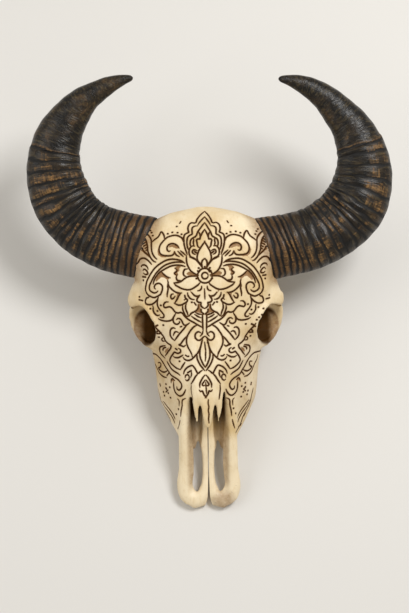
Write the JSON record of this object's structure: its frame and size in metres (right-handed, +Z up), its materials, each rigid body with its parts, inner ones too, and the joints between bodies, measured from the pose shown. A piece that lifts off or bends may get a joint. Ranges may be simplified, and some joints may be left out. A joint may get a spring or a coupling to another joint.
{
  "type": "carved buffalo skull",
  "caption": "Carved water-buffalo skull without its lower jaw: long ridged horns sweep out and back, and lotus and scroll lines are cut into the forehead and face.",
  "frame": {"origin": "centre of the overall box, on the floor under the skull", "axes": "+Z up, with the skull lying on its cheek teeth and condyles; the muzzle points to -Y and the horns reach to +Y; +X is the animal's left"},
  "size_m": [0.6012, 0.6696, 0.2447],
  "materials": {
    "bone": "dry carved bone, matt to faintly satin, cream with brown in the carved lines",
    "horn": "horn, dark brown to black with a soft sheen, tan between the ridges"
  },
  "bodies": {
    "root": {"frontal_bone": "bone", "braincase": "bone", "nasal_bone_left": "bone", "nasal_bone_right": "bone", "maxilla_left": "bone", "maxilla_right": "bone", "premaxilla_left": "bone", "premaxilla_right": "bone", "cheekbone_left": "bone", "cheekbone_right": "bone", "horn_left": "horn", "horn_right": "horn"}
  },
  "joints": []
}
